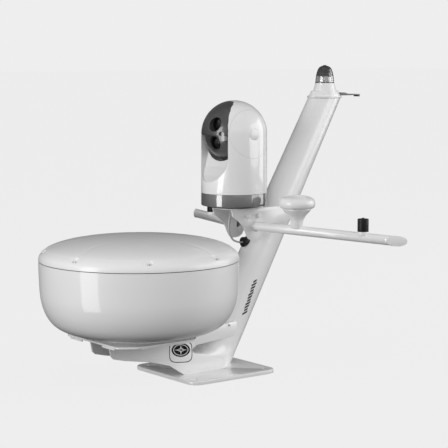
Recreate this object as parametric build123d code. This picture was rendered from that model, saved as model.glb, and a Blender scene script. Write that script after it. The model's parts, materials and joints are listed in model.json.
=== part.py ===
from build123d import *
import math
import os

# Powered mast assembly for a boat's cabin roof: a raked, tapered oval mast on a
# square foot plate, with a forward arm that carries an enclosed radar scanner, a
# bracket with a pan-and-tilt camera, swept antenna arms and an all-round light.
# Millimetres. +X starboard, +Y aft, +Z up. Origin: centre of the foot plate's
# underside.

# ---------------------------------------------------------------- dimensions
BASE_L, BASE_W, BASE_T, BASE_R = 280.0, 280.0, 10.0, 30.0
BOLT_PITCH, BOLT_R = 224.0, 4.5
CABLE_HOLE_R = 25.0

RAKE = 0.5725                 # aft travel of the mast axis per unit of height
MAST_Y0, MAST_Z0, MAST_Z1 = 10.4, 10.0, 731.0
MAST_A0, MAST_B0 = 67.0, 42.0  # half chord (fore-aft), half thickness at the foot
MAST_A1, MAST_B1 = 52.5, 36.0  # the same at the top
MAST_WALL = 3.2
FOOT_Z1 = 97.0
FOOT_A, FOOT_B, FOOT_Y = 84.0, 41.4, -5.0   # the foot casting's oval on the plate

ARM_IN, ARM_OUT = 41.6, 46.0   # the arm's side plates, inner and outer face
ARM_WEB_Z0, ARM_WEB_Z1 = 115.5, 119.5

PLAT_Z0, PLAT_Z1 = 119.5, 124.5
RAD_Y = -213.6                 # axis of the radar scanner
RAD_R = 260.3
RAD_SEAM = 322.0
LID_RISE, LID_POWER = 60.0, 2.5
SCREW_Z = 341.0
RAD_FLOOR = 136.5
RAD_WALL = 4.0
PLAT_BOLT_X, PLAT_BOLT_Y = 90.0, 75.0
N_COVER = 8
COVER_R, COVER_A0 = 248.0, -28.5

CAM_Y, CAM_R = 99.0, 89.0
CAM_Z0 = 445.0
RING_H = 34.6
TILT_Z = 640.0
BALL_R = 88.0
BALL_HALF = 58.7
SLOT_HALF = 59.2

TUBE_R, TUBE_WALL = 12.7, 2.0
ROOT = (39.0, 141.0, 388.0)    # where a swept arm meets the bracket
TIP = (400.0, 278.0, 375.0)
MITRE = 60.0
STUB_R, STUB_H = 11.5, 34.0
STUB_X = (344.0, -270.0)
GPS_X = 160.0

GLAND = (0.0, 142.0, 341.0)
CABLE_Y = 90.0


def mast_y(z):
    return MAST_Y0 + RAKE * (z - MAST_Z0)


def mast_ab(z):
    t = (z - MAST_Z0) / (MAST_Z1 - MAST_Z0)
    return MAST_A0 + t * (MAST_A1 - MAST_A0), MAST_B0 + t * (MAST_B1 - MAST_B0)


def box(x0, y0, z0, x1, y1, z1):
    return Pos((x0 + x1) / 2, (y0 + y1) / 2, (z0 + z1) / 2) * Box(
        abs(x1 - x0), abs(y1 - y0), abs(z1 - z0))


def cyl(r, z0, z1, x=0.0, y=0.0):
    return Pos(x, y, (z0 + z1) / 2) * Cylinder(r, z1 - z0)


def xcyl(r, x0, x1, y, z):
    return Pos((x0 + x1) / 2, y, z) * Rot(0, 90, 0) * Cylinder(r, abs(x1 - x0))


def oval(z, grow=0.0, a=None, b=None, y=None):
    aa, bb = mast_ab(z)
    aa, bb = (a or aa) + grow, (b or bb) + grow
    yy = mast_y(z) if y is None else y
    return Plane(origin=(0, yy, z)) * Ellipse(bb, aa)


def yz_plate(points, x0, x1, r=0.0):
    """A flat plate whose outline is given as (y, z) points, between two x planes."""
    sk = Plane(origin=(x0, 0, 0), x_dir=(0, 1, 0), z_dir=(1, 0, 0)) * Polygon(*points, align=None)
    if r:
        sk = fillet(sk.vertices(), r)
    return extrude(sk, amount=x1 - x0)


def turned(points, x=0.0, y=0.0):
    """A solid of revolution about a vertical axis from (r, z) points."""
    sk = Plane.XZ * Polygon(*points, align=None)
    return Pos(x, y, 0) * revolve(sk, Axis.Z, 360)


def arm_point(x):
    s = 1 if x > 0 else -1
    t = (abs(x) - ROOT[0]) / (TIP[0] - ROOT[0])
    return Vector(x, ROOT[1] + t * (TIP[1] - ROOT[1]), ROOT[2] + t * (TIP[2] - ROOT[2]))


def along(p, q, r, extra0=0.0, extra1=0.0):
    """A round bar from p to q, lengthened at either end."""
    p, q = Vector(*p), Vector(*q)
    d = (q - p).normalized()
    p, q = p - d * extra0, q + d * extra1
    pl = Plane(origin=p, z_dir=d)
    return extrude(pl * Circle(r), amount=(q - p).length)


parts = {}

# ---------------------------------------------------------------- foot plate
plate = extrude(RectangleRounded(BASE_W, BASE_L, BASE_R), amount=BASE_T)
for sx in (-1, 1):
    for sy in (-1, 1):
        plate -= cyl(BOLT_R, -1, BASE_T + 1, sx * BOLT_PITCH / 2, sy * BOLT_PITCH / 2)
plate -= cyl(CABLE_HOLE_R, -1, BASE_T + 1)
plate = chamfer(plate.faces().sort_by(Axis.Z)[-1].outer_wire().edges(), 1.2)
parts["base_plate"] = plate

# ---------------------------------------------------------------- arm side plates and web
side_pts = [(-338, 119.5), (-338, 111), (-333, 86), (-324, 78), (-291, 70), (-214, 57), (-150, 39),
            (-104, 10), (30, 10), (34, 34), (0, 50), (-68, 63), (-74, 67), (-75, 73), (-71, 79), (-60, 84.5),
            (49, 94), (64, 98), (72, 108), (74, 127), (66, 135), (-42, 121), (-61, 119.5)]
flanges = {}
for name, x0, x1 in (("arm_side_starboard", ARM_IN, ARM_OUT), ("arm_side_port", -ARM_OUT, -ARM_IN)):
    flanges[name] = yz_plate(side_pts, x0, x1)
    parts[name] = flanges[name]
web = box(-ARM_IN, -336, ARM_WEB_Z0, ARM_IN, 5.0, ARM_WEB_Z1)
parts["arm_web"] = web

# ---------------------------------------------------------------- foot casting
foot = loft([oval(BASE_T, a=FOOT_A, b=FOOT_B, y=FOOT_Y).face(), oval(FOOT_Z1).face()])
foot -= loft([oval(BASE_T, -4.0, a=FOOT_A, b=FOOT_B, y=FOOT_Y).face(), oval(FOOT_Z1, -4.0).face()])
foot_solids = sorted(foot.solids(), key=lambda s: -s.volume)
print("foot solids", [round(s.volume) for s in foot_solids])
parts["tower_foot"] = foot_solids[0]

# ---------------------------------------------------------------- mast tube and cap
tube = loft([oval(FOOT_Z1).face(), oval(MAST_Z1).face()])
tube -= loft([oval(FOOT_Z1, -MAST_WALL).face(), oval(MAST_Z1, -MAST_WALL).face()])
gy, gz = GLAND[1], GLAND[2]
gd = Vector(0, -1, 0)          # the gland's nose points forward
gface_y = mast_y(gz) - mast_ab(gz)[0]
gc = Vector(0, gface_y, gz)
tube -= extrude(Plane(origin=gc - gd * 30, z_dir=gd) * Circle(9.0), amount=60)
parts["mast_tube"] = tube
top_y = mast_y(MAST_Z1) - 1.0
parts["mast_cap"] = extrude(Plane(origin=(0, top_y, MAST_Z1)) * Ellipse(38.5, 54.5), amount=4.0)
parts["side_screws"] = Part() + [
    xcyl(3.6, s * ARM_OUT, s * (ARM_OUT + 1.6), 47, 126.5) for s in (-1, 1)]
gland = extrude(Plane(origin=gc - gd * 9, z_dir=gd) * Circle(13.5), amount=20.0)
gland -= loft([oval(300).face(), oval(380).face()])
gland = sorted(gland.solids(), key=lambda q: -q.volume)[0]
gland += extrude(Plane(origin=gc - gd * 10, z_dir=gd) * Circle(8.8), amount=18.0)
gland = gland - extrude(Plane(origin=gc - gd * 14, z_dir=gd) * Circle(2.75), amount=60)
parts["cable_gland"] = gland

# ---------------------------------------------------------------- radar platform
pp = [(-118, -362), (118, -362), (146, -318), (146, -140), (60, -62), (-60, -62), (-146, -140), (-146, -318)]
plat = extrude(Plane(origin=(0, 0, PLAT_Z0)) * fillet((Polygon(*pp, align=None)).vertices(), 12), amount=PLAT_Z1 - PLAT_Z0)
holes = [(sx * PLAT_BOLT_X, RAD_Y + sy * PLAT_BOLT_Y) for sx in (-1, 1) for sy in (-1, 1)]
for hx, hy in holes:
    plat -= extrude(Plane(origin=(hx, hy, PLAT_Z0 - 1)) * SlotOverall(22, 9.0), amount=8)
parts["radar_platform"] = plat
# downturned stiffening lips on the platform's two sides
lips = Part() + [box(s * 146, -306, 117.0, s * 142, -150, PLAT_Z0) for s in (-1, 1)]
lips += box(-104, -362, 114.5, -ARM_OUT - 1, -358, PLAT_Z0)
lips += box(ARM_OUT + 1, -362, 114.5, 104, -358, PLAT_Z0)
parts["platform_lips"] = lips
# upstand at the rear of the platform that shrouds the radar's cable run into the mast
up = yz_plate([(-61.5, PLAT_Z1), (-61.5, 119.6), (-14, 119.6), (-14, 153), (-60, 140), (-100, 128), (-106, PLAT_Z1)], -41.3, 41.3)
up += yz_plate([(-14, 119.6), (46, 119.6), (46, 140), (30, 153), (-14, 153)], -33, 33)
up = up - loft([oval(100, 0.3).face(), oval(170, 0.3).face()])
up = sorted(up.solids(), key=lambda s: -s.volume)[0]

# ---------------------------------------------------------------- radar scanner
outer_pts = [(260.3, 321.2), (260.2, 300), (258.6, 258), (256.2, 227.5), (253.2, 212), (248.8, 197),
             (242.0, 181.5), (232.5, 166.5), (217.6, 152.5), (197.0, 142.0), (170.0, RAD_FLOOR)]


def bowl(off, top):
    pts = [(r - off, z + (off if r < 240 else off * 0.6 if r < 250 else 0)) for r, z in outer_pts]
    pts[0] = (pts[0][0], top)
    pts[-1] = (outer_pts[-1][0], RAD_FLOOR + off)
    curve = Spline(*[(x, y) for x, y in pts], tangents=[(0, -1), (-1, 0)])
    zc = RAD_FLOOR + off
    edges = [curve, Line((pts[-1][0], zc), (0, zc)), Line((0, zc), (0, top)), Line((0, top), (pts[0][0], top))]
    face = make_face(edges)
    return revolve(Plane.XZ * face, Axis.Z, 360)


shell = bowl(0.0, 321.2) - bowl(RAD_WALL, 322.0)
shell = Pos(0, RAD_Y, 0) * shell
up -= Pos(0, RAD_Y, 0) * bowl(-0.8, 322.0) + cyl(128.6, 100, 150, 0, RAD_Y)
parts["cable_shroud"] = sorted(up.solids(), key=lambda q: -q.volume)[0]
shell += cyl(128, PLAT_Z1, RAD_FLOOR + 2, 0, RAD_Y) - cyl(108, PLAT_Z1 - 1, RAD_FLOOR + 1, 0, RAD_Y)
for hx, hy in holes:
    shell -= cyl(4.1, 100, 136, hx, hy)
parts["radar_lower_shell"] = shell

def lid_z(r, rise=LID_RISE, rim=RAD_R):
    return RAD_SEAM + rise * (1 - (r / rim) ** LID_POWER) ** (1 / LID_POWER)


def lid(off, zbot):
    rim, rise = RAD_R - off, LID_RISE - off

    def p(r):
        return (r, lid_z(r, rise, rim))

    top, a = (0, RAD_SEAM + rise), p(110)
    crown = (110 ** 2 + (top[1] - a[1]) ** 2) / (2 * (top[1] - a[1]))      # radius of the crown's sphere
    mid = (55, top[1] - crown + math.sqrt(crown * crown - 55 ** 2))
    edges = [Line((rim, zbot), (rim, RAD_SEAM + 2.5)), ThreePointArc((rim, RAD_SEAM + 2.5), p(rim - 1.2), p(rim - 5.3)),
             ThreePointArc(p(rim - 5.3), p(rim - 17), p(rim - 42)), ThreePointArc(p(rim - 42), p(165), a),
             ThreePointArc(a, mid, top), Line(top, (0, zbot)), Line((0, zbot), (rim, zbot))]
    return Pos(0, RAD_Y, 0) * revolve(Plane.XZ * make_face(edges), Axis.Z, 360)


cover = lid(0.0, 323.0) - lid(RAD_WALL, 322.0)
screw_xy = [(COVER_R * math.cos(math.radians(COVER_A0 + 360 / N_COVER * i)), RAD_Y + COVER_R * math.sin(math.radians(COVER_A0 + 360 / N_COVER * i)))
            for i in range(N_COVER)]
bosses = Part()
for sx, sy in screw_xy:
    bosses += cyl(7.0, 325.0, 350.0, sx, sy)
cover = cover + (bosses & lid(1.0, 323.0))
for sx, sy in screw_xy:
    cover -= cyl(5.4, SCREW_Z, 365, sx, sy)
    cover -= cyl(2.4, 320.0, 365, sx, sy)
parts["radar_cover"] = cover
screws = Part()
for sx, sy in screw_xy:
    screws += cyl(4.4, SCREW_Z, SCREW_Z + 2.4, sx, sy) + cyl(2.2, 316.0, SCREW_Z + 0.2, sx, sy) - Pos(sx, sy, SCREW_Z + 2.4) * Box(6.4, 1.2, 1.6)
parts["cover_screws"] = screws
parts["radar_gasket"] = (cyl(259.4, 321.2, 323.0, 0, RAD_Y) - cyl(256.4, 320, 324, 0, RAD_Y))
shell_bosses = Part()
for sx, sy in screw_xy:
    shell_bosses += cyl(6.5, 250.0, 325.0, sx, sy) - cyl(2.2, 300, 330, sx, sy)
parts["radar_screw_posts"] = Part() + (shell_bosses & (Pos(0, RAD_Y, 0) * bowl(RAD_WALL + 0.02, 330.0))).solids()

bolts = Part()
washers = Part()
for hx, hy in holes:
    washers += cyl(9.0, 117.4, PLAT_Z0, hx, hy) - cyl(4.0, 100, 130, hx, hy)
    bolts += cyl(3.9, 117.0, 134.0, hx, hy) + extrude(Plane(origin=(hx, hy, 111.9)) * RegularPolygon(7.0, 6), amount=5.5)
parts["radar_bolts"] = bolts
parts["radar_washers"] = washers

# inside the radar: chassis, transceiver, bearing, rotor, belt drive and antenna panel
IZ = RAD_FLOOR + RAD_WALL
parts["radar_chassis"] = cyl(150, IZ + 2, IZ + 5, 0, RAD_Y) + (cyl(150, IZ, IZ + 2, 0, RAD_Y) - cyl(130, IZ - 1, IZ + 3, 0, RAD_Y))
parts["radar_transceiver"] = fillet((box(-62, RAD_Y - 128, IZ + 5, 62, RAD_Y - 48, IZ + 50)).edges().filter_by(Axis.Z), 6)
parts["radar_bearing"] = cyl(34, IZ + 5, IZ + 52, 0, RAD_Y) - cyl(12.0, IZ - 5, IZ + 60, 0, RAD_Y)
shaft = cyl(11.96, IZ + 6, IZ + 62, 0, RAD_Y) + cyl(52, IZ + 62, IZ + 72, 0, RAD_Y)
parts["rotor_shaft"] = shaft
parts["antenna_carrier"] = fillet(box(-205, RAD_Y - 24, IZ + 72, 205, RAD_Y + 24, IZ + 80).edges().filter_by(Axis.Z), 8)
parts["antenna_panel"] = fillet(box(-218, RAD_Y - 16, IZ + 80, 218, RAD_Y + 16, IZ + 160).edges().filter_by(Axis.Z), 6)
MX, MY = 92.0, RAD_Y + 62.0
parts["drive_motor"] = cyl(24, IZ + 5, IZ + 48, MX, MY) - cyl(4.05, IZ + 20, IZ + 60, MX, MY)
parts["motor_pulley"] = cyl(4.0, IZ + 22, IZ + 56, MX, MY) + cyl(13.0, IZ + 56, IZ + 71, MX, MY)
# the belt runs round the two pulleys with a working gap: a loop of constant thickness
bz0, bz1 = IZ + 63.5, IZ + 70.5
d = math.hypot(MX, MY - RAD_Y)
ang = math.degrees(math.atan2(MY - RAD_Y, MX))


def loop(rb, rs):
    return make_hull((Circle(rb) + Pos(d, 0) * Circle(rs)).edges())


belt_sk = loop(54.0, 15.0) - loop(52.4, 13.4)
belt = extrude(Plane(origin=(0, RAD_Y, bz0)) * (Rot(0, 0, ang) * belt_sk), amount=bz1 - bz0)
parts["drive_belt"] = belt

# ---------------------------------------------------------------- camera bracket
br_pts = [(57, 437), (62, 419), (81, 405), (98, 389), (108, 367), (116, 354), (130, 349.5), (146, 350.5),
          (158, 357), (167, 374), (178, 391), (250, 392), (262, 403), (261, 422), (246, 437)]
BX0, BX1 = 39.4, 43.6
BOLT_Y, BOLT_Z = (113.0, 149.0), 416.0
p0 = Vector(ROOT[0], ROOT[1], ROOT[2])
p1 = Vector(TIP[0], TIP[1], TIP[2])
sd = (p1 - p0).normalized()
bar_s = along(p0, p1, TUBE_R, 0, MITRE)
bar_p = bar_s.mirror(Plane.YZ)
for name, x0, x1, bar in (("bracket_side_starboard", BX0, BX1, bar_s), ("bracket_side_port", -BX1, -BX0, bar_p)):
    s = yz_plate(br_pts, x0, x1)
    s -= bar
    s -= xcyl(4.2, x0 - 2, x1 + 2, BOLT_Y[0], BOLT_Z) + xcyl(4.2, x0 - 2, x1 + 2, BOLT_Y[1], BOLT_Z)
    parts[name] = s
btop = fillet(box(-43.6, 56, 437, 43.6, 170, 441).edges().filter_by(Axis.Z), 12)
btop += cyl(58, 437, 441, 0, CAM_Y)
btop -= cyl(14, 430, 450, 0, CABLE_Y)
btop -= loft([oval(430, 1.0).face(), oval(446, 1.0).face()])
btop = sorted(btop.solids(), key=lambda q: -q.volume)[0]
parts["bracket_top"] = btop
hex_bolts = Part()
for s in (-1, 1):
    for y in BOLT_Y:
        h = Plane(origin=(s * BX1, y, BOLT_Z), x_dir=(0, 1, 0), z_dir=(s, 0, 0))
        hex_bolts += extrude(h * RegularPolygon(6.6, 6), amount=5.2) + extrude(
            Plane(origin=(s * (BX0 - 0.3), y, BOLT_Z), x_dir=(0, 1, 0), z_dir=(s, 0, 0)) * Circle(4.0), amount=4.8)
parts["bracket_bolts"] = hex_bolts
parts["camera_pad"] = cyl(70, 441, CAM_Z0, 0, CAM_Y) - cyl(14, 430, 450, 0, CABLE_Y)
pad_cut = loft([oval(430, 1.0).face(), oval(450, 1.0).face()])
parts["camera_pad"] = sorted((parts["camera_pad"] - pad_cut).solids(), key=lambda q: -q.volume)[0]

# ---------------------------------------------------------------- swept arms
n = Vector(0.775, -0.632, 0).normalized()       # outward normal of the mitred end
far = p1 + sd * (MITRE / 2 + 2)
cut_plane = Plane(origin=far, z_dir=n)
cutter = extrude(cut_plane * Rectangle(300, 300), amount=200)
arm_solid = along(p0, p1, TUBE_R, 0, 140) - cutter
arm_hollow = along(p0, p1, TUBE_R - TUBE_WALL, 6, 140) - (Pos(0, 0, 0) * cutter)
arm_s = arm_solid - arm_hollow
ell = TUBE_R / abs(sd.dot(n))
cap_s = (along(p0, p1, TUBE_R + 0.9, 0, 200)) & extrude(Plane(origin=far, z_dir=n) * Rectangle(300, 300), amount=2.6)
sx0 = arm_point(STUB_X[0])
sx1 = arm_point(STUB_X[1])
gp = arm_point(GPS_X)


def stub_at(p):
    st = cyl(STUB_R, p.Z + 6, p.Z + TUBE_R + STUB_H, p.X, p.Y) + cyl(15.0, p.Z + 6, p.Z + TUBE_R + 3.0, p.X, p.Y)
    return st


arm_p = arm_s.mirror(Plane.YZ)
cap_p = cap_s.mirror(Plane.YZ)
solid_s, solid_p = bar_s, bar_p
stub_s = stub_at(sx0) - solid_s
stub_p = stub_at(sx1) - solid_p
parts["arm_tube_starboard"] = arm_s
parts["arm_tube_port"] = arm_p
parts["arm_end_caps"] = Part() + [cap_s, cap_p]
parts["antenna_stubs"] = Part() + [sorted(stub_s.solids(), key=lambda q: -q.volume)[0],
                                   sorted(stub_p.solids(), key=lambda q: -q.volume)[0]]
for name, p in (("dust_cap_starboard", sx0), ("dust_cap_port", sx1)):
    zb = p.Z + TUBE_R + 3.4
    zt = p.Z + TUBE_R + STUB_H + 2.5
    c = cyl(14.6, zb, zt, p.X, p.Y) - cyl(STUB_R + 0.3, zb - 1, p.Z + TUBE_R + STUB_H + 0.3, p.X, p.Y)
    c = fillet(c.faces().sort_by(Axis.Z)[-1].outer_wire().edges(), 1.6)
    c += cyl(3.4, zt - 0.5, zt + 2.6, p.X, p.Y)
    parts[name] = c

# ---------------------------------------------------------------- satellite antenna
neck = turned([(0, gp.Z + 6), (16.5, gp.Z + 6), (16.5, gp.Z + 22), (18.5, gp.Z + 30), (24, gp.Z + 40), (33, gp.Z + 50),
               (38, gp.Z + 56), (38, gp.Z + 60), (0, gp.Z + 60)], gp.X, gp.Y) - solid_s
parts["gps_neck"] = sorted(neck.solids(), key=lambda q: -q.volume)[0]
dz = gp.Z + 60
parts["gps_dome"] = turned([(0, dz), (43, dz), (46.5, dz + 3), (48.6, dz + 8), (49, dz + 14), (47.6, dz + 20), (44, dz + 25),
                            (37, dz + 29), (26, dz + 32), (13, dz + 33.6), (0, dz + 34)], gp.X, gp.Y)

# ---------------------------------------------------------------- pan and tilt camera
cyz = (CAM_Y, TILT_Z)
parts["camera_base"] = fillet(cyl(CAM_R, CAM_Z0, CAM_Z0 + RING_H - 0.4, 0, CAM_Y).edges().sort_by(Axis.Z)[:1], 3.0) - cyl(12, 440, CAM_Z0 + 22, 0, CABLE_Y)
z0 = CAM_Z0 + RING_H
body = (cyl(CAM_R, z0, TILT_Z, 0, CAM_Y) + (Pos(0, CAM_Y, TILT_Z) * Sphere(CAM_R))) - box(-100, -10, 440, 100, 210, z0)
SLOT_Z = 602.0
slot = box(-SLOT_HALF, CAM_Y - 120, SLOT_Z, SLOT_HALF, CAM_Y + 120, 760)
cavity = (Pos(0, CAM_Y, TILT_Z) * Sphere(BALL_R + 0.6)) & box(-SLOT_HALF, -20, 500, SLOT_HALF, 220, 760)
# U-shaped scoop below the head at the front, sunk deeper towards its top
u_sk = Plane(origin=(0, CAM_Y - 130, 0), x_dir=(1, 0, 0), z_dir=(0, 1, 0))
u_shape = Plane.XZ * (Pos(0, 570) * Circle(SLOT_HALF) + Pos(0, 600) * Rectangle(2 * SLOT_HALF, 60))
u_prism = extrude(Pos(0, CAM_Y - 130, 0) * u_shape, amount=-130)
wedge = extrude(Plane(origin=(-100, 0, 0), x_dir=(0, 1, 0), z_dir=(1, 0, 0)) * Polygon(
    (-60, 480), (CAM_Y - CAM_R - 1.0, 507), (CAM_Y - 71, 527), (CAM_Y - 54, 552), (CAM_Y - 44, 580), (CAM_Y - 41, 640), (-60, 640), align=None), amount=200)
scoop = u_prism & wedge
pan = body - slot - cavity - scoop
pan = pan - xcyl(6.05, SLOT_HALF - 1, 80, *cyz) - xcyl(6.05, -80, -SLOT_HALF + 1, *cyz)
pan = sorted(pan.solids(), key=lambda q: -q.volume)
print("pan solids", [round(s.volume) for s in pan])
parts["camera_pan_body"] = pan[0]
side_caps = Part()
for s in (-1, 1):
    side_caps += (xcyl(15.0, s * 80, s * 90.4, *cyz) & (Pos(0, CAM_Y, TILT_Z) * Sphere(CAM_R + 0.8)))
parts["camera_side_caps"] = side_caps
parts["camera_pan_body"] = parts["camera_pan_body"] - xcyl(15.0, 80, 95, *cyz) - xcyl(15.0, -95, -80, *cyz)

edge_r = math.sqrt(BALL_R ** 2 - BALL_HALF ** 2)
prof = [Line((-76, 0), (-76, 6.0)), Line((-76, 6.0), (-BALL_HALF, 6.0)), Line((-BALL_HALF, 6.0), (-BALL_HALF, edge_r)),
        ThreePointArc((-BALL_HALF, edge_r), (0, BALL_R), (BALL_HALF, edge_r)), Line((BALL_HALF, edge_r), (BALL_HALF, 6.0)),
        Line((BALL_HALF, 6.0), (76, 6.0)), Line((76, 6.0), (76, 0)), Line((76, 0), (-76, 0))]
ball = Pos(0, CAM_Y, TILT_Z) * revolve(Plane.XY * make_face(prof), Axis.X, 360)
# the chin below the lenses is set back
chin = (Pos(0, CAM_Y, TILT_Z) * (Sphere(120) - Sphere(80))) & extrude(
    Plane(origin=(-70, 0, 0), x_dir=(0, 1, 0), z_dir=(1, 0, 0)) * Polygon((CAM_Y, TILT_Z), (CAM_Y - 140, TILT_Z - 6), (CAM_Y - 140, TILT_Z - 140), (CAM_Y, TILT_Z - 140), align=None), amount=140)
ball -= chin
v_half = [(58.9, -100), (58.9, 8), (53.5, 36), (43.0, 62), (31.0, 78), (16.0, 86.5)]
vis_pts = [(x, TILT_Z + z) for x, z in v_half] + [(0, TILT_Z + 89)] + [(-x, TILT_Z + z) for x, z in reversed(v_half)]
vprism = extrude(Pos(0, CAM_Y - 16, 0) * (Plane.XZ * Polygon(*vis_pts, align=None)), amount=120)
visor_zone = vprism & box(-BALL_HALF - 0.2, -40, 540, BALL_HALF + 0.2, CAM_Y - 16, 760)
visor_zone -= Pos(0, CAM_Y, TILT_Z) * Sphere(72)
visor_zone = sorted(visor_zone.solids(), key=lambda q: -q.volume)[0]
def lens_axis(x, up):
    v = Vector(x, -math.sqrt(max(BALL_R ** 2 - x * x - up * up, 1)), up).normalized()
    return v


lens_defs = [(20.0, 26.0, 19.0), (12.0, -23.0, 18.0)]
bez, glass = Part(), Part()
win = Part()
cuts = Part()
ctr = Vector(0, CAM_Y, TILT_Z)
for lx, up, r in lens_defs:
    v = Vector(0, -1, 0)
    base = ctr + Vector(lx, 0, up)
    cuts += extrude(Plane(origin=base + v * 62, z_dir=v) * Circle(r), amount=40)
    bez += extrude(Plane(origin=base + v * 62, z_dir=v) * Circle(r - 0.1), amount=10) - extrude(Plane(origin=base + v * 64, z_dir=v) * Circle(r - 2.6), amount=30)
    glass += extrude(Plane(origin=base + v * 64, z_dir=v) * Circle(r - 2.7), amount=5)
wbase = ctr + Vector(43.0, 0, -5)
wcut = extrude(Plane(origin=wbase + Vector(0, -1, 0) * 62, x_dir=(1, 0, 0), z_dir=(0, -1, 0)) * RectangleRounded(13, 24, 4), amount=40)
wglass = extrude(Plane(origin=wbase + Vector(0, -1, 0) * 62, x_dir=(1, 0, 0), z_dir=(0, -1, 0)) * RectangleRounded(12.8, 23.8, 3.9), amount=9.0)
cuts += wcut
for c in cuts.solids():
    ball = ball - c
    print("ball after a recess", round(ball.volume))
visor = sorted((ball & visor_zone).solids(), key=lambda q: -q.volume)
head = sorted((ball - visor_zone).solids(), key=lambda q: -q.volume)
print("visor", [round(q.volume) for q in visor], "head", [round(q.volume) for q in head])
visor, head = visor[0], head[0]
parts["camera_head"] = head
parts["camera_visor"] = visor
parts["lens_bezels"] = bez
parts["camera_lenses"] = glass
parts["camera_window"] = wglass

# ---------------------------------------------------------------- camera cable
cable_pts = [(0, CABLE_Y + 0.5, CAM_Z0 + 6), (0, CABLE_Y, 430), (0, 84.5, 411), (0, 80.5, 389), (0, 83, 367), (0, 95, 348.5),
             (0, 115, gz), (0, gc.Y + 3, gz)]
cable_pts = [Vector(*p) for p in cable_pts]
radii = []
for a, b, c in zip(cable_pts, cable_pts[1:], cable_pts[2:]):
    turn = math.radians((b - a).get_angle(c - b))
    radii.append(0.45 * min((b - a).length, (c - b).length) / math.tan(turn / 2))
print("cable radii", [round(r, 1) for r in radii])
path = FilletPolyline(*cable_pts, radius=radii)
cable = sweep(Plane(origin=path @ 0, z_dir=path % 0) * Circle(2.5), path=path)
print("cable", round(path.length, 1), round(cable.volume), round(math.pi * 6.25 * path.length))
parts["camera_cable"] = cable

# ---------------------------------------------------------------- masthead
ty = mast_y(735.0) - 2.5
lb = turned([(0, 735), (34.0, 735), (34.5, 741), (32.5, 748), (29.5, 760), (27.6, 768), (27.6, 771), (0, 771)], 0, 0)
lb = Pos(0, ty, 0) * lb
skirt = extrude(Plane(origin=(0, ty, 735)) * Ellipse(35, 50), amount=14, taper=24)
lb = skirt + lb
parts["light_base"] = lb
parts["light_gasket"] = cyl(26.9, 771, 773, 0, ty)
lens_o = [(26.4, 773), (26.0, 780), (24.8, 790), (22.6, 800), (19.6, 809), (15.5, 815), (9.0, 818.6), (5.0, 819.2), (4.0, 821), (0, 821)]
lens_i = [(0, 772), (23.9, 772), (23.5, 780), (22.3, 790), (20.2, 799.5), (17.4, 807.5), (13.5, 812.5), (8.0, 815.6), (0, 816.2)]
parts["light_lens"] = turned([(0, 773)] + lens_o, 0, ty) - turned(lens_i, 0, ty)
parts["light_lamp"] = cyl(7.0, 773, 796, 0, ty)
fin = yz_plate([(474, 735), (541, 735), (543, 731), (549, 731), (549, 738), (505, 739.5), (492, 743), (474, 743)], -10, 10)
fin -= extrude(Plane(origin=(0, ty, 730)) * Ellipse(35.4, 50.4), amount=20)
fin = sorted(fin.solids(), key=lambda q: -q.volume)[0]
parts["masthead_fin"] = fin

# ---------------------------------------------------------------- output
os.makedirs("parts", exist_ok=True)
for name, shape in parts.items():
    shape.label = name
    export_step(shape, f"parts/{name}.step")
print(len(parts), "parts")
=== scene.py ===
import json
import math

import bmesh
import bpy
from mathutils import Matrix, Vector


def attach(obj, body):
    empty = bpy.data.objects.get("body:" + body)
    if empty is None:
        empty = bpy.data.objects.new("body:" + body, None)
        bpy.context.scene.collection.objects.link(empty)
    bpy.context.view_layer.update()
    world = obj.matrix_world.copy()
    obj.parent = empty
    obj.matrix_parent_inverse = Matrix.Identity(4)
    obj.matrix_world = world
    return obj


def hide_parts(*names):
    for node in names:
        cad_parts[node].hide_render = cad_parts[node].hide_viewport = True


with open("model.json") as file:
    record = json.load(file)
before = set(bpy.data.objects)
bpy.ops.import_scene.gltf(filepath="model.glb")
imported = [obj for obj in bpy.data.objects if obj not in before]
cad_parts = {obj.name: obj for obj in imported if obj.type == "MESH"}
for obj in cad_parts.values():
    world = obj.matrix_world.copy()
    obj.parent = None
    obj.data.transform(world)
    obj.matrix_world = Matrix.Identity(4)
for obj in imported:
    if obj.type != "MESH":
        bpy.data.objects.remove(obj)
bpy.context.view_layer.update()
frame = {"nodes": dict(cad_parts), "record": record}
NODES = frame["nodes"]
BODIES = frame["record"]["behaviour"]["bodies"]
NODE_BODY = {n: b for b, ns in BODIES.items() for n in ns}
SLOTS = {s["node"]: s["material_slot"] for s in frame["record"]["subparts"]}
MM = 0.001
scene = bpy.context.scene
scene.view_settings.view_transform = "Standard"
scene.view_settings.look = "None"


# ------------------------------------------------------------------ camera
cam_data = bpy.data.cameras.new("view_camera")
cam_data.sensor_width = 36.0
cam_data.lens = 120.54
cam_data.clip_start, cam_data.clip_end = 0.1, 200.0
cam = bpy.data.objects.new("view_camera", cam_data)
scene.collection.objects.link(cam)
cam.location = (3.19882, -2.39161, 0.85298)
_az, _pi = math.radians(52.48), math.radians(6.48)
_fwd = Vector((-math.sin(_az) * math.cos(_pi), math.cos(_az) * math.cos(_pi), -math.sin(_pi)))
cam.rotation_mode = "QUATERNION"
cam.rotation_quaternion = _fwd.to_track_quat("-Z", "Y")
scene.camera = cam


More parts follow.
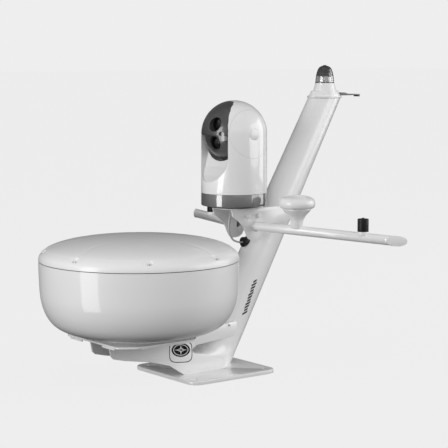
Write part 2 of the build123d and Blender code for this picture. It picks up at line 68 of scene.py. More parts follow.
# ------------------------------------------------------------------ materials
class Mat:
    """A small helper around a node-based material."""

    def __init__(self, name, color, rough=0.4, metal=0.0, coat=0.0, coat_rough=0.1, ior=1.5, spec=0.5):
        self.m = bpy.data.materials.new(name)
        self.m.use_nodes = True
        self.nt = self.m.node_tree
        self.b = self.nt.nodes["Principled BSDF"]
        c = color if isinstance(color, (tuple, list)) else (color, color, color)
        self.color = tuple(c)
        self.rough = rough
        self.b.inputs["Base Color"].default_value = (*c, 1)
        self.b.inputs["Roughness"].default_value = rough
        self.b.inputs["Metallic"].default_value = metal
        self.b.inputs["Coat Weight"].default_value = coat
        self.b.inputs["Coat Roughness"].default_value = coat_rough
        self.b.inputs["IOR"].default_value = ior
        self.b.inputs["Specular IOR Level"].default_value = spec
        self.co = self.nt.nodes.new("ShaderNodeTexCoord")
        m.append(self.m)

    def node(self, kind, **kw):
        n = self.nt.nodes.new(kind)
        for k, v in kw.items():
            setattr(n, k, v)
        return n

    def link(self, a, b):
        self.nt.links.new(a, b)

    def noise(self, scale, detail=4.0, rough=0.55, stretch=(1, 1, 1), dist=0.0):
        mp = self.node("ShaderNodeMapping")
        mp.inputs["Scale"].default_value = stretch
        self.link(self.co.outputs["Object"], mp.inputs["Vector"])
        n = self.node("ShaderNodeTexNoise")
        n.inputs["Scale"].default_value = scale
        n.inputs["Detail"].default_value = detail
        n.inputs["Roughness"].default_value = rough
        n.inputs["Distortion"].default_value = dist
        self.link(mp.outputs["Vector"], n.inputs["Vector"])
        return n.outputs["Fac"]

    def ramp(self, fac, lo, hi, f0=0.3, f1=0.7):
        r = self.node("ShaderNodeMapRange")
        r.inputs["From Min"].default_value = f0
        r.inputs["From Max"].default_value = f1
        r.inputs["To Min"].default_value = lo
        r.inputs["To Max"].default_value = hi
        self.link(fac, r.inputs["Value"])
        return r.outputs["Result"]

    def vary_color(self, fac, dark, light, f0=0.3, f1=0.7):
        r = self.node("ShaderNodeValToRGB")
        r.color_ramp.elements[0].position, r.color_ramp.elements[1].position = f0, f1
        r.color_ramp.elements[0].color = (*dark, 1)
        r.color_ramp.elements[1].color = (*light, 1)
        self.link(fac, r.inputs["Fac"])
        self.link(r.outputs["Color"], self.b.inputs["Base Color"])
        return r

    def vary_rough(self, fac, lo, hi):
        self.link(self.ramp(fac, lo, hi), self.b.inputs["Roughness"])

    def bump(self, layers):
        """layers: (height output, strength in millimetres)."""
        prev = None
        for h, mm_ in layers:
            b = self.node("ShaderNodeBump")
            b.inputs["Strength"].default_value = 1.0
            b.inputs["Distance"].default_value = mm_ * MM
            self.link(h, b.inputs["Height"])
            if prev is not None:
                self.link(prev, b.inputs["Normal"])
            prev = b.outputs["Normal"]
        self.link(prev, self.b.inputs["Normal"])


m = []


def g(v):
    return (v, v, v)


def paint():
    k = Mat("powder_coat_white", g(0.86), 0.3, coat=0.7, coat_rough=0.12)
    big, mid, fine = k.noise(6, 3), k.noise(220, 3), k.noise(900, 2)
    k.vary_color(big, g(0.845), g(0.885))
    k.vary_rough(mid, 0.26, 0.36)
    k.bump([(mid, 0.05), (fine, 0.012)])
    return k.m


def radome():
    k = Mat("gloss_gelcoat_white", g(0.86), 0.38, coat=0.42, coat_rough=0.075)
    big, mid = k.noise(3.5, 3), k.noise(60, 2)
    k.vary_color(big, g(0.845), g(0.88))
    k.vary_rough(big, 0.38, 0.46)
    k.bump([(mid, 0.02)])
    return k.m


def camera_shell():
    k = Mat("camera_shell_white", g(0.84), 0.4, coat=0.9, coat_rough=0.04)
    big, mid = k.noise(8, 3), k.noise(400, 2)
    k.vary_color(big, g(0.825), g(0.855))
    k.vary_rough(mid, 0.38, 0.46)
    k.bump([(mid, 0.006)])
    return k.m


def plastic_white():
    k = Mat("moulded_white_plastic", g(0.83), 0.3, coat=0.3, coat_rough=0.12)
    big, mid = k.noise(9, 3), k.noise(500, 2)
    k.vary_color(big, g(0.81), g(0.85))
    k.vary_rough(mid, 0.26, 0.36)
    k.bump([(mid, 0.015)])
    return k.m


def grey_ring():
    k = Mat("base_ring_grey", g(0.135), 0.42, coat=1.0, coat_rough=0.03)
    k.b.inputs["Coat IOR"].default_value = 1.85
    big, fine = k.noise(10, 3), k.noise(1400, 2)
    k.vary_color(big, g(0.105), g(0.125))
    k.vary_rough(fine, 0.36, 0.46)
    k.bump([(fine, 0.008)])
    return k.m


def visor():
    k = Mat("visor_dark", g(0.055), 0.36, coat=0.5, coat_rough=0.08)
    big, fine = k.noise(14, 3), k.noise(1500, 2)
    k.vary_color(big, g(0.048), g(0.062))
    k.vary_rough(fine, 0.26, 0.36)
    k.bump([(fine, 0.02)])
    return k.m


def rubber():
    k = Mat("black_rubber", g(0.010), 0.42, spec=0.3)
    big, fine = k.noise(30, 3), k.noise(1600, 3)
    k.vary_color(big, g(0.006), g(0.014))
    k.vary_rough(fine, 0.34, 0.5)
    k.bump([(fine, 0.04)])
    return k.m


def steel():
    k = Mat("brushed_stainless", g(0.62), 0.28, metal=1.0)
    br = k.noise(90, 4, 0.6, stretch=(1, 1, 14))
    k.vary_color(br, g(0.52), g(0.7))
    k.vary_rough(br, 0.2, 0.36)
    k.bump([(br, 0.02)])
    return k.m


def alloy():
    k = Mat("cast_alloy", g(0.55), 0.5, metal=1.0)
    big, fine = k.noise(40, 4), k.noise(700, 4)
    k.vary_color(big, g(0.48), g(0.6))
    k.vary_rough(fine, 0.42, 0.6)
    k.bump([(fine, 0.08)])
    return k.m


def jacket():
    k = Mat("cable_jacket", g(0.5), 0.45)
    big, fine = k.noise(60, 3), k.noise(1500, 2)
    k.vary_color(big, g(0.46), g(0.56))
    k.vary_rough(fine, 0.4, 0.55)
    k.bump([(fine, 0.02)])
    return k.m


def lens_dark():
    k = Mat("coated_lens", (0.006, 0.006, 0.007), 0.05, coat=0.35, coat_rough=0.02, ior=1.5, spec=0.5)
    big = k.noise(40, 2)
    k.vary_color(big, (0.004, 0.004, 0.005), (0.010, 0.010, 0.012))
    return k.m


def window():
    # painted highlight: the clear window's base colour is a light grey, varied at random, that stands in for the
    # bright highlight on it; its coat also gives a real reflection
    k = Mat("window_painted_highlight", g(0.75), 0.08, coat=1.0, coat_rough=0.03)
    big = k.noise(60, 2)
    k.vary_color(big, g(0.62), g(0.86))
    return k.m


def smoke():
    k = Mat("lens_smoked", g(0.42), 0.08, coat=0.6, coat_rough=0.05)
    k.b.inputs["Transmission Weight"].default_value = 0.82
    k.b.inputs["IOR"].default_value = 1.47
    big = k.noise(30, 2)
    sep = k.node("ShaderNodeSeparateXYZ")
    k.link(k.co.outputs["Object"], sep.inputs[0])
    band = k.ramp(sep.outputs["Z"], 0.0, 1.0, 0.7875, 0.7915)
    mx = k.node("ShaderNodeMix", data_type="RGBA")
    mx.inputs[6].default_value = (0.9, 0.9, 0.9, 1)
    mx.inputs[7].default_value = (0.13, 0.13, 0.13, 1)
    k.link(band, mx.inputs[0])
    k.link(mx.outputs[2], k.b.inputs["Base Color"])
    k.vary_rough(big, 0.05, 0.1)
    return k.m


def decal_black():
    k = Mat("decal_black", g(0.006), 0.5, spec=0.12)
    big, fine = k.noise(50, 3), k.noise(1500, 2)
    k.vary_color(big, g(0.004), g(0.009))
    k.vary_rough(fine, 0.45, 0.6)
    return k.m


def decal_white():
    k = Mat("decal_white", g(0.8), 0.3)
    big, fine = k.noise(50, 3), k.noise(1500, 2)
    k.vary_color(big, g(0.78), g(0.83))
    k.vary_rough(fine, 0.25, 0.38)
    return k.m


M = {"mast_paint": paint(), "radome_white": radome(), "camera_white": camera_shell(), "white_plastic": plastic_white(),
     "camera_grey": grey_ring(), "visor_black": visor(), "black_rubber": rubber(), "stainless": steel(), "bearing_steel": steel(),
     "cast_alloy": alloy(), "panel_plastic": plastic_white(), "cable_grey": jacket(), "lens_glass": lens_dark(),
     "window_clear": window(), "light_smoke": smoke(), "lamp_white": plastic_white()}
M["decal_black"], M["decal_white"] = decal_black(), decal_white()


def seam():
    k = Mat("seam_grey", g(0.42), 0.4)
    k.vary_color(k.noise(40, 3), g(0.5), g(0.58))
    k.vary_rough(k.noise(900, 2), 0.35, 0.5)
    return k.m


M["seam_grey"] = seam()


def set_mat(o, mat):
    o.data.materials.clear()
    o.data.materials.append(mat)


for n, o in NODES.items():
    set_mat(o, M[SLOTS[n]])


# ------------------------------------------------------------------ mesh helpers
def finish_mesh(me, angle=32.0, name=None):
    for p in me.polygons:
        p.use_smooth = True
    me.set_sharp_from_angle(angle=math.radians(angle))
    me.validate()
    me.update()


def add_piece(name, me, body, mat, replaces=(), angle=32.0):
    finish_mesh(me, angle)
    o = bpy.data.objects.new(name, me)
    scene.collection.objects.link(o)
    o.data.materials.clear()
    o.data.materials.append(mat)
    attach(o, body)
    if replaces:
        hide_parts(*replaces)
    return o


def refined(node, width, segs=3, angle=38.0, name=None, mat=None):
    """The CAD piece again, welded, with its flat facets merged and its edges rounded."""
    src = NODES[node]
    bm = bmesh.new()
    bm.from_mesh(src.data)
    bmesh.ops.remove_doubles(bm, verts=bm.verts, dist=1e-6)
    bmesh.ops.dissolve_limit(bm, angle_limit=math.radians(0.6), verts=bm.verts, edges=bm.edges, delimit=set())
    for e in bm.edges:
        e.select = False
    sharp = [e for e in bm.edges if len(e.link_faces) == 2 and e.calc_face_angle(0.0) > math.radians(angle)
             and e.calc_length() > 0.00005]
    if sharp:
        bmesh.ops.bevel(bm, geom=sharp, offset=width * MM, offset_type="OFFSET", segments=segs, profile=0.5,
                        affect="EDGES", clamp_overlap=True, harden_normals=False)
    bmesh.ops.triangulate(bm, faces=[f for f in bm.faces if len(f.verts) > 4])
    me = bpy.data.meshes.new((name or node + "_v"))
    bm.to_mesh(me)
    bm.free()
    return add_piece(name or node + "_v", me, NODE_BODY[node], mat or M[SLOTS[node]], (node,), 40.0)


def revolve_mesh(name, prof, cx, cy, seg=192):
    """prof: (r, z) in mm, bottom to top or closed; a mesh of revolution."""
    bm = bmesh.new()
    rings = []
    for r, z in prof:
        if r < 1e-6:
            rings.append([bm.verts.new((cx * MM, cy * MM, z * MM))])
        else:
            rings.append([bm.verts.new(((cx + r * math.cos(2 * math.pi * i / seg)) * MM,
                                        (cy + r * math.sin(2 * math.pi * i / seg)) * MM, z * MM)) for i in range(seg)])
    for a, b in zip(rings, rings[1:]):
        for i in range(seg):
            j = (i + 1) % seg
            if len(a) == 1 and len(b) == 1:
                continue
            if len(a) == 1:
                bm.faces.new((a[0], b[i], b[j]))
            elif len(b) == 1:
                bm.faces.new((a[i], a[j], b[0]))
            else:
                bm.faces.new((a[i], a[j], b[j], b[i]))
    bmesh.ops.recalc_face_normals(bm, faces=bm.faces)
    me = bpy.data.meshes.new(name)
    bm.to_mesh(me)
    bm.free()
    return me


# ------------------------------------------------------------------ floor, world and lights
fl = bpy.data.meshes.new("floor")
S = 60.0
fl.from_pydata([(-S, -S, -0.0005), (S, -S, -0.0005), (S, S, -0.0005), (-S, S, -0.0005)], [], [(0, 1, 2, 3)])
floor = bpy.data.objects.new("floor", fl)
scene.collection.objects.link(floor)
fm = bpy.data.materials.new("floor_pale")
fm.use_nodes = True
fn = fm.node_tree
for n_ in list(fn.nodes):
    fn.nodes.remove(n_)
out = fn.nodes.new("ShaderNodeOutputMaterial")
add = fn.nodes.new("ShaderNodeAddShader")
emi = fn.nodes.new("ShaderNodeEmission")
dif = fn.nodes.new("ShaderNodeBsdfDiffuse")
emi.inputs["Color"].default_value = (1, 1, 1, 1)
emi.inputs["Strength"].default_value = 0.824
dif.inputs["Color"].default_value = (0.04, 0.04, 0.04, 1)
fn.links.new(emi.outputs[0], add.inputs[0])
fn.links.new(dif.outputs[0], add.inputs[1])
fn.links.new(add.outputs[0], out.inputs["Surface"])
fl.materials.append(fm)
floor.visible_diffuse = False
floor.visible_glossy = False
floor.visible_transmission = False
floor.visible_volume_scatter = False

world = bpy.data.worlds.new("studio")
scene.world = world
world.use_nodes = True
wn = world.node_tree
for n_ in list(wn.nodes):
    wn.nodes.remove(n_)
wo = wn.nodes.new("ShaderNodeOutputWorld")
tc = wn.nodes.new("ShaderNodeTexCoord")
RIGHT = Vector((math.cos(_az), math.sin(_az), 0))
BACK = Vector((math.sin(_az), -math.cos(_az), 0))      # from the object towards the front of the set


def wdot(v):
    d = wn.nodes.new("ShaderNodeVectorMath")
    d.operation = "DOT_PRODUCT"
    d.inputs[1].default_value = v
    wn.links.new(tc.outputs["Generated"], d.inputs[0])
    return d.outputs["Value"]


def wramp(val, pts):
    mr = wn.nodes.new("ShaderNodeMapRange")
    mr.inputs["From Min"].default_value, mr.inputs["From Max"].default_value = -1, 1
    wn.links.new(val, mr.inputs["Value"])
    r = wn.nodes.new("ShaderNodeValToRGB")
    els = r.color_ramp.elements
    while len(els) > 1:
        els.remove(els[-1])
    for i, (p, v) in enumerate(pts):
        e = els[0] if i == 0 else els.new((p + 1) / 2)
        e.position = (p + 1) / 2
        e.color = (v, v, v, 1)
    wn.links.new(mr.outputs["Result"], r.inputs["Fac"])
    return r.outputs["Color"]


def wmul(a, b):
    n_ = wn.nodes.new("ShaderNodeMix")
    n_.data_type, n_.blend_type = "RGBA", "MULTIPLY"
    n_.inputs[0].default_value = 1.0
    wn.links.new(a, n_.inputs[6])
    wn.links.new(b, n_.inputs[7])
    return n_.outputs[2]


up_ = wramp(wdot((0, 0, 1)), [(-1, 0.07), (-0.25, 0.10), (0.0, 0.62), (0.25, 1.0), (0.6, 0.75), (1, 0.52)])
side_ = wramp(wdot(tuple(RIGHT)), [(-1, 0.8), (-0.3, 0.85), (0.3, 0.8), (0.7, 1.0), (0.88, 1.25), (1, 1.4)])
front_ = wramp(wdot(tuple(BACK)), [(-1, 0.16), (-0.5, 0.3), (-0.2, 0.66), (0.3, 0.95), (1, 0.93)])
envc = wmul(wmul(up_, side_), front_)
lp = wn.nodes.new("ShaderNodeLightPath")
bg1 = wn.nodes.new("ShaderNodeBackground")
bg2 = wn.nodes.new("ShaderNodeBackground")
bg2.inputs["Color"].default_value = (0.855, 0.855, 0.855, 1)
wn.links.new(envc, bg1.inputs["Color"])
bg1.inputs["Strength"].default_value = 1.02
mix = wn.nodes.new("ShaderNodeMixShader")
wn.links.new(lp.outputs["Is Camera Ray"], mix.inputs[0])
wn.links.new(bg1.outputs[0], mix.inputs[1])
wn.links.new(bg2.outputs[0], mix.inputs[2])
wn.links.new(mix.outputs[0], wo.inputs["Surface"])


def softbox(name, azim, dist, z, w, h, power, target=(0, 0.0, 0.35), spread=180.0):
    """azim: degrees from the front of the set, towards the right; an upright rectangular light."""
    a = math.radians(azim)
    d = BACK * math.cos(a) + RIGHT * math.sin(a)
    ld = bpy.data.lights.new(name, "AREA")
    ld.shape, ld.size, ld.size_y, ld.energy = "RECTANGLE", w, h, power
    ld.spread = math.radians(spread)
    lo = bpy.data.objects.new(name, ld)
    scene.collection.objects.link(lo)
    lo.location = Vector((d.x * dist, d.y * dist, z))
    lo.rotation_mode = "QUATERNION"
    lo.rotation_quaternion = (Vector(target) - lo.location).to_track_quat("-Z", "Y")
    return lo


softbox("key_left", -53, 4.0, 0.35, 1.45, 3.9, 122.0, (0, 0, 0.35))
softbox("fill_front", 15, 5.0, 2.0, 3.0, 1.8, 8.0)
softbox("fill_right", 78, 4.5, 1.4, 2.2, 2.6, 42.0)
softbox("edge_right", 108, 4.0, 1.1, 2.0, 2.8, 46.0)
softbox("top", -10, 0.8, 3.6, 2.6, 2.6, 5.0)

# ------------------------------------------------------------------ rounded CAD pieces
EDGE = {"base_plate": 1.0, "mast_cap": 1.0, "radar_platform": 1.0, "platform_lips": 0.8, "bracket_top": 0.9,
        "bracket_side_starboard": 0.9, "bracket_side_port": 0.9, "arm_side_starboard": 1.0, "arm_side_port": 1.0,
        "arm_end_caps": 0.5, "camera_base": 1.0, "camera_pan_body": 1.6, "camera_head": 1.0, "camera_visor": 1.2,
        "light_base": 1.5, "camera_side_caps": 0.6, "dust_cap_starboard": 0.6,
        "dust_cap_port": 0.6, "gps_neck": 0.8, "cable_gland": 0.8, "antenna_stubs": 0.5, 
        "radar_bolts": 0.4, "side_screws": 0.4, "cover_screws": 0.35, "arm_tube_starboard": 0.5, "arm_tube_port": 0.5, "gps_dome": 0.6, "cable_shroud": 1.5, "camera_pad": 0.6}
for n, w in EDGE.items():
    refined(n, w)
refined("lens_bezels", 0.5, mat=M["decal_black"])
refined("bracket_bolts", 0.4, mat=M["mast_paint"])


def fin_metal():
    # a dark grey metal for the fin, mottled at random
    k = Mat("fin_dark_grey_alloy", g(0.16), 0.5, metal=0.4)
    k.vary_color(k.noise(60, 4), g(0.11), g(0.2))
    k.vary_rough(k.noise(700, 3), 0.42, 0.6)
    return k.m


refined("masthead_fin", 0.8, mat=fin_metal())


def sstep(a, b, x):
    t = min(max((x - a) / (b - a), 0.0), 1.0)
    return t * t * (3 - 2 * t)


# ------------------------------------------------------------------ the radar's lid, with its screw pockets
RY, RR = -213.6, 260.3
SCREWS = [math.radians(-28.5 + 45 * i) for i in range(8)]
SCREW_R, SCREW_FLOOR = 248.0, 341.0


def lid_z(r, rim=RR, rise=60.0):
    return 322.0 + rise * max(1 - (r / rim) ** 2.5, 0.0) ** 0.4


def lid_top(r, a):
    z = max(lid_z(r), 323.0)
    base = z
    for s_ in SCREWS:
        da = (a - s_ + math.pi) % (2 * math.pi) - math.pi
        if abs(da) > 0.5:
            continue
        u, v = r * math.sin(da), r * math.cos(da) - SCREW_R
        d = math.hypot(u, v)
        crease = 0.85 * sstep(120, 175, r) * (1 - sstep(226, 240, r))
        z -= crease * math.exp(-(u / (3.0 + 6.0 * (r / 240.0))) ** 2)
        if v < 2:
            z -= 1.1 * (1 - sstep(9, 21, d))
        if base > SCREW_FLOOR:
            k = 1 - sstep(6.4, 9.0, d)
            z = z + (SCREW_FLOOR - z) * k if z > SCREW_FLOOR else z
    z -= 0.55 * sstep(240.0, 243.0, r) * (1 - sstep(252, 258, r))
    return z


def lid_mesh():
    angs = []
    for s_ in SCREWS:
        k = -22.5
        while k < 22.5 - 1e-6:
            angs.append(s_ + math.radians(k))
            k += 0.22 if -4.6 < k < 4.4 else 0.9
    rads = [RR, 260.24, 260.05, 259.7, 259.2, 258.6, 257.9, 257.2]
    r = 256.4
    while r > 224:
        rads.append(r)
        r -= 0.85
    while r > 4:
        rads.append(r)
        r -= 4.2
    bm = bmesh.new()
    rows = []
    for r in rads:
        rows.append([bm.verts.new((r * math.cos(a) * MM, (RY + r * math.sin(a)) * MM, lid_top(r, a) * MM)) for a in angs])
    tip = bm.verts.new((0, RY * MM, 382.0 * MM))
    n_ = len(angs)
    for p, q in zip(rows, rows[1:]):
        for i in range(n_):
            j = (i + 1) % n_
            bm.faces.new((p[i], p[j], q[j], q[i]))
    for i in range(n_):
        bm.faces.new((rows[-1][i], rows[-1][(i + 1) % n_], tip))
    # the wall's underside and the rim's bottom face
    inner = [[bm.verts.new((r * math.cos(a) * MM, (RY + r * math.sin(a)) * MM, max(lid_z(r, 256.3, 56.0), 323.0) * MM)) for a in angs]
             for r in (256.3, 255.9, 255, 252.5, 248, 240, 228, 205, 170, 130, 85, 40)]
    itip = bm.verts.new((0, RY * MM, 378.0 * MM))
    for i in range(n_):
        j = (i + 1) % n_
        bm.faces.new((rows[0][j], rows[0][i], inner[0][i], inner[0][j]))
        for p, q in zip(inner, inner[1:]):
            bm.faces.new((p[j], p[i], q[i], q[j]))
        bm.faces.new((inner[-1][(i + 1) % n_], inner[-1][i], itip))
    # screw bosses under the lid
    for s_ in SCREWS:
        cx, cy = SCREW_R * math.cos(s_), RY + SCREW_R * math.sin(s_)
        rings = []
        for r, z in ((2.4, 338.0), (2.4, 325.0), (7.4, 325.0), (7.8, 326.0), (8.0, 336.0)):
            rings.append([bm.verts.new(((cx + r * math.cos(t * math.pi / 16)) * MM, (cy + r * math.sin(t * math.pi / 16)) * MM, z * MM))
                          for t in range(32)])
        for p, q in zip(rings, rings[1:]):
            for i in range(32):
                j = (i + 1) % 32
                bm.faces.new((p[i], p[j], q[j], q[i]))
    me = bpy.data.meshes.new("radar_cover_v")
    bm.to_mesh(me)
    bm.free()
    return me


add_piece("radar_cover_v", lid_mesh(), NODE_BODY["radar_cover"], M["radome_white"], ("radar_cover",), 42.0)


LY = 10.4 + 0.5725 * 725.0 - 2.5
add_piece("lamp_reflector", revolve_mesh("lamp_reflector", [(0, 773.2), (20.5, 773.2), (20.5, 775), (18.6, 776), (18.6, 778.5), (20.2, 779.3), (20.2, 781),
          (18.2, 782), (18.2, 784.5), (19.6, 785.2), (19.6, 787), (17.4, 788), (8, 789), (8, 790), (0, 790)], 0.0, LY, 96), "mast", M["bearing_steel"], (), 30.0)

# ------------------------------------------------------------------ weld beads, seams and printed marks
def bead(name, pts, r, body, mat, closed=False, ripple=0.12, pitch=5.0, sides=10):
    """A laid bead: a tube along a 3-D path with the small ripples of a weld."""
    P = [Vector(p) for p in pts]
    if closed:
        P.append(P[0])
    out_, acc = [], 0.0
    for a, b in zip(P, P[1:]):
        n_ = max(int((b - a).length / (pitch / 4)), 1)
        out_ += [(a + (b - a) * (k / n_)) for k in range(n_)]
    if not closed:
        out_.append(P[-1])
    bm = bmesh.new()
    rings = []
    N = len(out_)
    for i, p in enumerate(out_):
        a = out_[(i - 1) % N] if closed or i > 0 else p
        b = out_[(i + 1) % N] if closed or i < N - 1 else p
        t = (b - a).normalized()
        up = Vector((0, 0, 1)) if abs(t.z) < 0.9 else Vector((1, 0, 0))
        s_ = t.cross(up).normalized()
        w = s_.cross(t).normalized()
        rr = r * (1 + ripple * math.sin(2 * math.pi * i / 4.0 + 0.6 * math.sin(i * 0.7)))
        if not closed and (i == 0 or i == N - 1):
            rr *= 0.45
        rings.append([bm.verts.new((p + s_ * rr * math.cos(2 * math.pi * k / sides) + w * rr * math.sin(2 * math.pi * k / sides)) * MM)
                      for k in range(sides)])
    for i in range(N if closed else N - 1):
        p, q = rings[i], rings[(i + 1) % N]
        for k in range(sides):
            j = (k + 1) % sides
            bm.faces.new((p[k], p[j], q[j], q[k]))
    if not closed:
        bm.faces.new(list(reversed(rings[0])))
        bm.faces.new(rings[-1])
    bmesh.ops.recalc_face_normals(bm, faces=bm.faces)
    me = bpy.data.meshes.new(name)
    bm.to_mesh(me)
    bm.free()
    return add_piece(name, me, body, mat, (), 60.0)


RAKE = 0.5725


def mast_pt(t, z, off=0.0):
    """A point on the mast's outer surface: t degrees aft of its starboard side."""
    k = (z - 10.0) / 721.0
    A, B = 67.0 - 14.5 * k, 42.0 - 6.0 * k
    c, s_ = math.cos(math.radians(t)), math.sin(math.radians(t))
    nx, ny = c / B, s_ / A
    l_ = math.hypot(nx, ny)
    return Vector((B * c + off * nx / l_, 10.4 + RAKE * (z - 10.0) + A * s_ + off * ny / l_, z))


def patch(name, grid, body, mat):
    """A thin laid film through rows of points."""
    bm = bmesh.new()
    vs = [[bm.verts.new(p * MM) for p in row] for row in grid]
    for p, q in zip(vs, vs[1:]):
        for i in range(len(p) - 1):
            bm.faces.new((p[i], p[i + 1], q[i + 1], q[i]))
    me = bpy.data.meshes.new(name)
    bm.to_mesh(me)
    bm.free()
    return me


def join_meshes(name, meshes):
    bm = bmesh.new()
    for q in meshes:
        bm.from_mesh(q)
    bmesh.ops.remove_doubles(bm, verts=bm.verts, dist=1e-7)
    me = bpy.data.meshes.new(name)
    bm.to_mesh(me)
    bm.free()
    for q in meshes:
        bpy.data.meshes.remove(q)
    return me


# slanted tick marks up the mast's side, long and short in turn
ticks = []
NT = 11
for i in range(NT):
    f0, f1 = i / NT, (i + 0.66) / NT
    lo_k, hi_k = (-0.05, 1.05) if i % 3 == 0 else (0.12, 0.88) if i % 3 == 1 else (0.0, 1.0)
    grid = []
    for a_ in range(5):
        w = lo_k + (hi_k - lo_k) * a_ / 4
        row = []
        for b_ in range(4):
            f = f0 + (f1 - f0) * b_ / 3 + (w - 0.5) * 0.06
            z = 150 + 92 * f
            t0, t1 = 5.5 - 12.0 * f, 19.5 - 13.5 * f
            row.append(mast_pt(t0 + (t1 - t0) * w, z, 0.14))
        grid.append(row)
    ticks.append(patch("tick", grid, "mast", None))
add_piece("mast_tick_row", join_meshes("mast_tick_row", ticks), "mast", M["decal_black"], (), 60.0)

# a plain compass disc in a rounded frame on the arm's starboard side
AX, AY, AZ, SX, SZ = 46.12, -114.0, 72.0, 1.0, 1.0


def arm_pt(u, v, off=0.0):
    return Vector((AX + off, AY + u, AZ + v - 0.10 * u))


def ring_mesh(name, fo, fi, n_=72, off=0.0):
    bm = bmesh.new()
    o_ = [bm.verts.new(arm_pt(*fo(2 * math.pi * k / n_), off) * MM) for k in range(n_)]
    if fi is None:
        bm.faces.new(o_)
    else:
        i_ = [bm.verts.new(arm_pt(*fi(2 * math.pi * k / n_), off) * MM) for k in range(n_)]
        for k in range(n_):
            j = (k + 1) % n_
            bm.faces.new((o_[k], o_[j], i_[j], i_[k]))
    bmesh.ops.recalc_face_normals(bm, faces=bm.faces)
    me = bpy.data.meshes.new(name)
    bm.to_mesh(me)
    bm.free()
    return me


def sq(w, h, pw=4.0):
    return lambda a: (w * math.copysign(abs(math.cos(a)) ** (2 / pw), math.cos(a)),
                      h * math.copysign(abs(math.sin(a)) ** (2 / pw), math.sin(a)))


def el(w, h, dv=0.0):
    return lambda a: (w * math.cos(a), h * math.sin(a) + dv)


def flat(name, pts, off=0.0):
    bm = bmesh.new()
    bm.faces.new([bm.verts.new(arm_pt(*q, off) * MM) for q in pts])
    me_ = bpy.data.meshes.new(name)
    bm.to_mesh(me_)
    bm.free()
    return me_


dark_ = [ring_mesh("f", sq(37.5, 28.5), sq(35.4, 26.4)), ring_mesh("d", el(30, 18.5, 5.5), None)]
add_piece("arm_compass_mark", join_meshes("arm_compass_mark", dark_), "mast", M["decal_black"], (), 60.0)
pale_ = [ring_mesh("r", el(24.5, 14.8, 5.5), el(22.3, 13.2, 5.5), 72, 0.08)]
for k in range(8):
    a = math.pi / 4 * k
    L, Wd = (20.5, 4.6) if k % 2 == 0 else (11.5, 3.2)
    tip_ = (L * math.cos(a), 0.62 * L * math.sin(a) + 5.5)
    b1 = (Wd * math.cos(a + math.pi / 4), 0.62 * Wd * math.sin(a + math.pi / 4) + 5.5)
    b2 = (Wd * math.cos(a - math.pi / 4), 0.62 * Wd * math.sin(a - math.pi / 4) + 5.5)
    pale_.append(flat("p", ((0, 5.5), b2, tip_, b1), 0.10))
add_piece("arm_compass_star", join_meshes("arm_compass_star", pale_), "mast", M["decal_white"], (), 60.0)


# ------------------------------------------------------------------ the arm's side sheet runs smoothly into the foot
def foot_x(y, z):
    k = (z - 10.0) / 87.0
    a, b, yc = 84.0 - 18.75 * k, 41.4 - 0.12 * k, -5.0 + 65.2 * k
    return b * math.sqrt(max(1 - ((y - yc) / a) ** 2, 0.0))


edge_path = [(24, 10.2, 44, -2), (28, 20, 46, 4), (30, 30, 46, 12), (27, 38, 42, 24), (16, 43, 34, 30), (0, 48, 18, 28), (-20, 52.9, 8, 21),
             (-44, 57.4, 3, 14), (-62, 61.3, 0, 7), (-70, 63.6, -1, 3)]
dense = []
for p, q in zip(edge_path, edge_path[1:]):
    for k in range(6):
        f = k / 6
        dense.append(tuple(p[i] + (q[i] - p[i]) * f for i in range(4)))
dense.append(edge_path[-1])
for s_, tag in ((1, "starboard"), (-1, "port")):
    grid = []
    for y0, z0, dy, dz_ in dense:
        row = []
        for k in range(15):
            f = k / 14
            y, z = y0 - 3.0 * (1 - f) * (1 if dy > 3 else 0.2) + dy * f, max(z0 + dz_ * f - 2.0 * (1 - f) * (0 if z0 < 12 else 1), 10.2)
            h = f * f * (3 - 2 * f)
            row.append(Vector((s_ * (46.12 * (1 - h) + (foot_x(y, z) + 0.05) * h), y, z)))
        grid.append(row)
    add_piece("foot_blend_" + tag, patch("foot_blend_" + tag, grid, "mast", None), "mast", M["mast_paint"], (), 80.0)

def lens_piece(name, x, z, prof, mat, node=None):
    """A turned piece on an axis that points forward through the camera's head; prof holds (r, distance forward)."""
    bm = bmesh.new()
    rings, n_ = [], 72
    for r, d in prof:
        if r < 1e-6:
            rings.append([bm.verts.new((x * MM, (99.0 - d) * MM, z * MM))])
        else:
            rings.append([bm.verts.new(((x + r * math.cos(2 * math.pi * k / n_)) * MM, (99.0 - d) * MM,
                                        (z + r * math.sin(2 * math.pi * k / n_)) * MM)) for k in range(n_)])
    for p, q in zip(rings, rings[1:]):
        for k in range(n_):
            j = (k + 1) % n_
            if len(q) == 1:
                bm.faces.new((p[k], p[j], q[0]))
            elif len(p) == 1:
                bm.faces.new((p[0], q[j], q[k]))
            else:
                bm.faces.new((p[k], p[j], q[j], q[k]))
    bmesh.ops.recalc_face_normals(bm, faces=bm.faces)
    me = bpy.data.meshes.new(name)
    bm.to_mesh(me)
    bm.free()
    return me


glass_ = []
for lx, up, r in ((20.0, 26.0, 19.0), (12.0, -23.0, 18.0)):
    R_ = r - 2.8
    glass_.append(lens_piece("glass", lx, 640.0 + up, [(0, 64.2), (R_, 64.2), (R_, 66.0), (R_ * 0.94, 67.4), (R_ * 0.8, 68.6), (R_ * 0.6, 69.6),
                                                       (R_ * 0.35, 70.3), (0, 70.6)], None))
add_piece("camera_lenses_v", join_meshes("camera_lenses_v", glass_), NODE_BODY["camera_lenses"], M["lens_glass"], ("camera_lenses",),
          40.0)

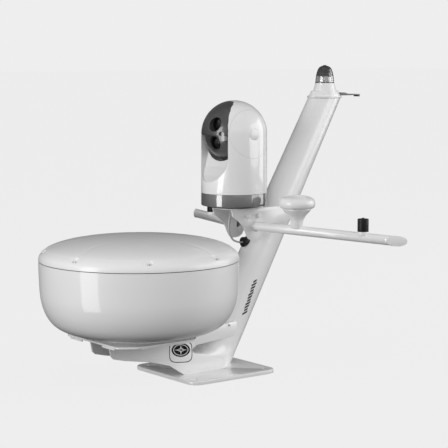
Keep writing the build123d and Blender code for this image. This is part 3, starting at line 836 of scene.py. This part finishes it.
# thin moulding seam round the camera's side cheeks and the rings of its axle covers
CY_, CZ_, CR_ = 99.0, 640.0, 89.0
for s_, tag in ((1, "starboard"), (-1, "port")):
    for rho, rr, kind in ((64.5, 0.36, "cheek_seam"), (15.2, 0.42, "axle_ring")):
        pts = []
        for k in range(96):
            a = 2 * math.pi * k / 96
            dy, dz_ = rho * math.cos(a), rho * math.sin(a)
            x = math.sqrt(CR_ ** 2 - dy ** 2 - (dz_ ** 2 if dz_ > 0 else 0))
            pts.append((s_ * (x - 0.12), CY_ + dy, CZ_ + dz_))
        bead("camera_" + kind + "_" + tag, pts, rr, "camera_pan", M["seam_grey"], True, 0.0, 6.0, 6)

# welds: foot to plate, arm sides to plate, swept arms to the bracket
foot_line = []
for k in range(120):
    a = 2 * math.pi * k / 120
    foot_line.append((43.0 * math.cos(a), -5.0 + 85.5 * math.sin(a), 10.6))
bead("weld_foot", [p for p in foot_line if abs(p[0]) < 42.2 and p[1] > 20] , 2.2, "mast", M["mast_paint"])
for s_, tag in ((1, "starboard"), (-1, "port")):
    bead("weld_arm_" + tag, [(s_ * 46.0, -103, 10.8), (s_ * 46.0, 30, 10.8)], 2.0, "mast", M["mast_paint"])
    root, tipp = Vector((39.0, 141.0, 388.0)), Vector((400.0, 278.0, 375.0))
    ax = (tipp - root).normalized()
    u_ = ax.cross(Vector((0, 0, 1))).normalized()
    w_ = u_.cross(ax).normalized()
    pts = []
    for k in range(48):
        a = 2 * math.pi * k / 48
        q = root + (u_ * math.cos(a) + w_ * math.sin(a)) * 12.9
        q = q + ax * ((43.9 - q.x) / ax.x)
        pts.append((s_ * q.x, q.y, q.z))
    bead("weld_swept_" + tag, pts, 1.7, "mast", M["mast_paint"], True)
pts = [(0, 0, 0)] * 0
for k in range(100):
    a = 2 * math.pi * k / 100
    pts.append((38.2 * math.cos(a), 10.4 + RAKE * (731 - 10) + 54.2 * math.sin(a), 730.4))
for s_, tag in ((1, "starboard"), (-1, "port")):
    strap = [(49, 94), (64, 98), (72, 108), (74, 127), (66, 135)]
    bead("weld_strap_" + tag, [(s_ * 42.6, y, z) for y, z in strap], 1.8, "mast", M["mast_paint"])
bead("weld_cap", pts, 1.1, "mast", M["mast_paint"], True, 0.08)
